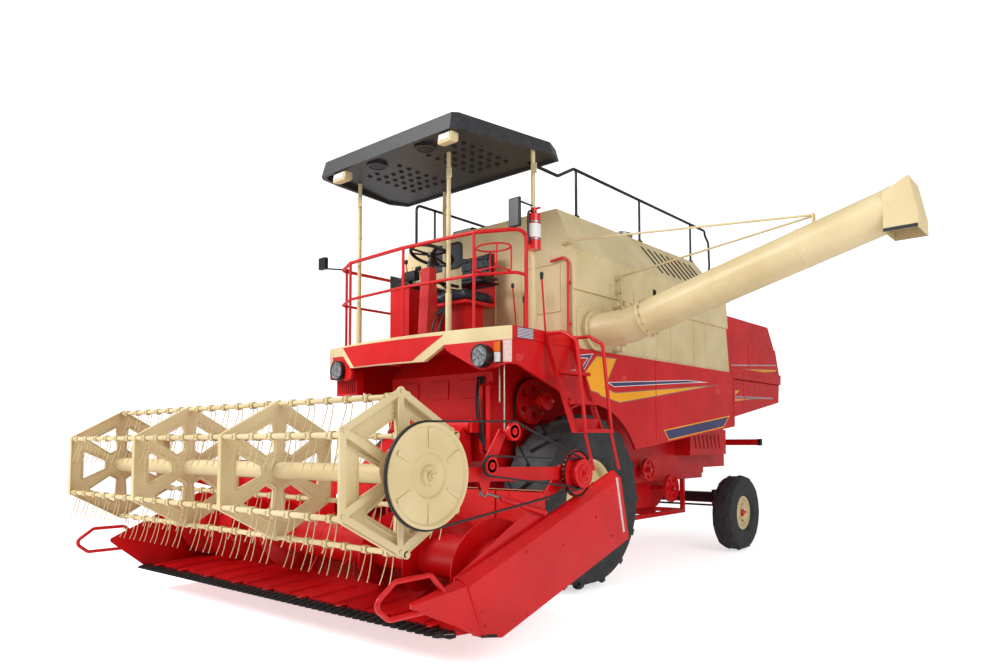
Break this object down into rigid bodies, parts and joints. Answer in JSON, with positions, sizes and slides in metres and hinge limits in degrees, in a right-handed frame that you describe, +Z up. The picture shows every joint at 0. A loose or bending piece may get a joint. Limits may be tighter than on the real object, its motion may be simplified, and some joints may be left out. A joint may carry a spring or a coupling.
{
  "type": "combine harvester",
  "caption": "Self-propelled combine harvester with a tined reel header, open canopied platform, grain tank, swing-out unloading auger and rear-wheel steering.",
  "frame": {"origin": "on the ground under the middle of the whole outline, seen from above", "axes": "+X to the machine's left, where the unloading auger points; +Y to its rear; +Z up"},
  "size_m": [6.194, 8.08, 4.056],
  "materials": {
    "paint_red": "gloss",
    "paint_cream": "gloss",
    "paint_black": "satin",
    "paint_bright_red": "gloss",
    "tyre": "matte",
    "plastic_black": "matte",
    "glass": "gloss",
    "fabric_blue": "matte",
    "steel_bare": "satin",
    "rubber": "matte"
  },
  "bodies": {
    "root": {"canopy": "plastic_black", "canopy_posts": "paint_cream", "chassis": "paint_red", "cleaning_unit": "paint_red", "console_and_levers": "paint_red", "drive_belt": "rubber", "engine": "paint_black", "engine_cover": "paint_cream", "extinguisher": "paint_bright_red", "fascia": "paint_cream", "front_axle": "paint_red", "grain_tank": "paint_cream", "ladder": "paint_red", "lamps_and_window": "glass", "mirrors": "paint_black", "platform": "paint_red", "platform_rails": "paint_red", "rear_axle": "paint_black", "seat_cushions": "fabric_blue", "seat_frame": "paint_red", "side_drives": "paint_red", "side_panels": "paint_red", "steering_column": "paint_red", "straw_hood": "paint_red", "tank_guard_rails": "paint_black", "thresher_casing": "paint_red"},
    "header": {"feeder_house": "paint_red", "header_trough": "paint_red", "cutter_bar": "steel_bare", "drive_shield": "paint_red", "header_jackshaft": "paint_black"},
    "header_auger": {"header_auger": "paint_red"},
    "reel_arms": {"reel_arms": "paint_red", "reel_belt": "rubber"},
    "reel": {"reel_frame": "paint_cream"},
    "reel_control": {"reel_control_frame": "paint_cream"},
    "header_barrels": {"header_lift_barrels": "paint_red"},
    "header_rods": {"header_lift_rods": "steel_bare"},
    "reel_barrels": {"reel_lift_barrels": "paint_red"},
    "reel_rods": {"reel_lift_rods": "steel_bare"},
    "unloader": {"unloading_tube": "paint_cream"},
    "rear_knuckle_left": {"rear_knuckle_left": "paint_black"},
    "rear_knuckle_right": {"rear_knuckle_right": "paint_black"},
    "tie_rod": {"tie_rod": "paint_black"},
    "reel_bat_1": {"reel_bat_1": "paint_cream"},
    "reel_bat_2": {"reel_bat_2": "paint_cream"},
    "reel_bat_3": {"reel_bat_3": "paint_cream"},
    "reel_bat_4": {"reel_bat_4": "paint_cream"},
    "reel_bat_5": {"reel_bat_5": "paint_cream"},
    "reel_bat_6": {"reel_bat_6": "paint_cream"},
    "front_wheel_left": {"front_tyre_left": "tyre", "front_rim_left": "paint_cream"},
    "front_wheel_right": {"front_tyre_right": "tyre", "front_rim_right": "paint_cream"},
    "rear_wheel_left": {"rear_tyre_left": "tyre", "rear_rim_left": "paint_cream"},
    "rear_wheel_right": {"rear_tyre_right": "tyre", "rear_rim_right": "paint_cream"}
  },
  "joints": [
    {"name": "header_lift", "type": "hinge", "parent": "root", "child": "header", "pos_m": [-0.96, -1.619, 1.5], "axis": [-1, 0, 0], "range_deg": [-3, 20]},
    {"name": "header_barrel_swing", "type": "hinge", "parent": "root", "child": "header_barrels", "pos_m": [-0.96, -1.009, 0.66], "axis": [-1, 0, 0], "range_deg": [-2, 12]},
    {"name": "header_rod_slide", "type": "slide", "parent": "header_barrels", "child": "header_rods", "axis": [0, -0.9963, -0.0859], "range_m": [-0.05, 0.31]},
    {"name": "auger_spin", "type": "hinge", "parent": "header", "child": "header_auger", "pos_m": [-0.96, -2.699, 0.56], "axis": [1, 0, 0], "continuous": true},
    {"name": "reel_lift", "type": "hinge", "parent": "header", "child": "reel_arms", "pos_m": [-0.96, -2.099, 1.13], "axis": [-1, 0, 0], "range_deg": [-10, 12]},
    {"name": "reel_barrel_swing", "type": "hinge", "parent": "header", "child": "reel_barrels", "pos_m": [-0.96, -2.409, 0.87], "axis": [-1, 0, 0], "range_deg": [-15, 18]},
    {"name": "reel_rod_slide", "type": "slide", "parent": "reel_barrels", "child": "reel_rods", "axis": [0, -0.9612, 0.2758], "range_m": [-0.075, 0.09]},
    {"name": "reel_spin", "type": "hinge", "parent": "reel_arms", "child": "reel", "pos_m": [-0.96, -3.564, 1.171], "axis": [1, 0, 0], "continuous": true},
    {"name": "bat_1_turn", "type": "hinge", "parent": "reel", "child": "reel_bat_1", "pos_m": [-0.96, -3.16996, 1.3985], "axis": [1, 0, 0], "continuous": true},
    {"name": "bat_2_turn", "type": "hinge", "parent": "reel", "child": "reel_bat_2", "pos_m": [-0.96, -3.564, 1.626], "axis": [1, 0, 0], "continuous": true},
    {"name": "bat_3_turn", "type": "hinge", "parent": "reel", "child": "reel_bat_3", "pos_m": [-0.96, -3.95804, 1.3985], "axis": [1, 0, 0], "continuous": true},
    {"name": "bat_4_turn", "type": "hinge", "parent": "reel", "child": "reel_bat_4", "pos_m": [-0.96, -3.95804, 0.9435], "axis": [1, 0, 0], "continuous": true},
    {"name": "bat_5_turn", "type": "hinge", "parent": "reel", "child": "reel_bat_5", "pos_m": [-0.96, -3.564, 0.716], "axis": [1, 0, 0], "continuous": true},
    {"name": "bat_6_turn", "type": "hinge", "parent": "reel", "child": "reel_bat_6", "pos_m": [-0.96, -3.16996, 0.9435], "axis": [1, 0, 0], "continuous": true},
    {"name": "reel_control_spin", "type": "hinge", "parent": "reel_arms", "child": "reel_control", "pos_m": [-0.96, -3.624, 1.196], "axis": [1, 0, 0], "continuous": true},
    {"name": "unloader_swing", "type": "hinge", "parent": "root", "child": "unloader", "pos_m": [0.33, -0.332, 2.398], "axis": [0, 0, 1], "range_deg": [0, 90]},
    {"name": "steer_left", "type": "hinge", "parent": "root", "child": "rear_knuckle_left", "pos_m": [0.025, 2.381, 0.463], "axis": [0, 0, 1], "range_deg": [-28, 28]},
    {"name": "steer_right", "type": "hinge", "parent": "root", "child": "rear_knuckle_right", "pos_m": [-1.945, 2.381, 0.463], "axis": [0, 0, 1], "range_deg": [-28, 28]},
    {"name": "tie_rod_slide", "type": "slide", "parent": "root", "child": "tie_rod", "axis": [-1, 0, 0], "range_m": [-0.0949, 0.0949]},
    {"name": "front_left_roll", "type": "hinge", "parent": "root", "child": "front_wheel_left", "pos_m": [0.075, -0.769, 0.806], "axis": [1, 0, 0], "continuous": true},
    {"name": "front_right_roll", "type": "hinge", "parent": "root", "child": "front_wheel_right", "pos_m": [-1.995, -0.769, 0.806], "axis": [1, 0, 0], "continuous": true},
    {"name": "rear_left_roll", "type": "hinge", "parent": "rear_knuckle_left", "child": "rear_wheel_left", "pos_m": [0.255, 2.381, 0.463], "axis": [1, 0, 0], "continuous": true},
    {"name": "rear_right_roll", "type": "hinge", "parent": "rear_knuckle_right", "child": "rear_wheel_right", "pos_m": [-2.175, 2.381, 0.463], "axis": [1, 0, 0], "continuous": true}
  ],
  "couplings": [
    {"joint": "header_barrel_swing", "follows": "header_lift", "ratio": 0.53286},
    {"joint": "header_rod_slide", "follows": "header_lift", "m_per_rad": 0.8441},
    {"joint": "reel_barrel_swing", "follows": "reel_lift", "ratio": 1.3345},
    {"joint": "reel_rod_slide", "follows": "reel_lift", "m_per_rad": 0.33354},
    {"joint": "reel_control_spin", "follows": "reel_spin", "ratio": 1},
    {"joint": "steer_right", "follows": "steer_left", "ratio": 1},
    {"joint": "tie_rod_slide", "follows": "steer_left", "m_per_rad": 0.19},
    {"joint": "bat_1_turn", "follows": "reel_spin", "ratio": -1},
    {"joint": "bat_2_turn", "follows": "reel_spin", "ratio": -1},
    {"joint": "bat_3_turn", "follows": "reel_spin", "ratio": -1},
    {"joint": "bat_4_turn", "follows": "reel_spin", "ratio": -1},
    {"joint": "bat_5_turn", "follows": "reel_spin", "ratio": -1},
    {"joint": "bat_6_turn", "follows": "reel_spin", "ratio": -1}
  ]
}
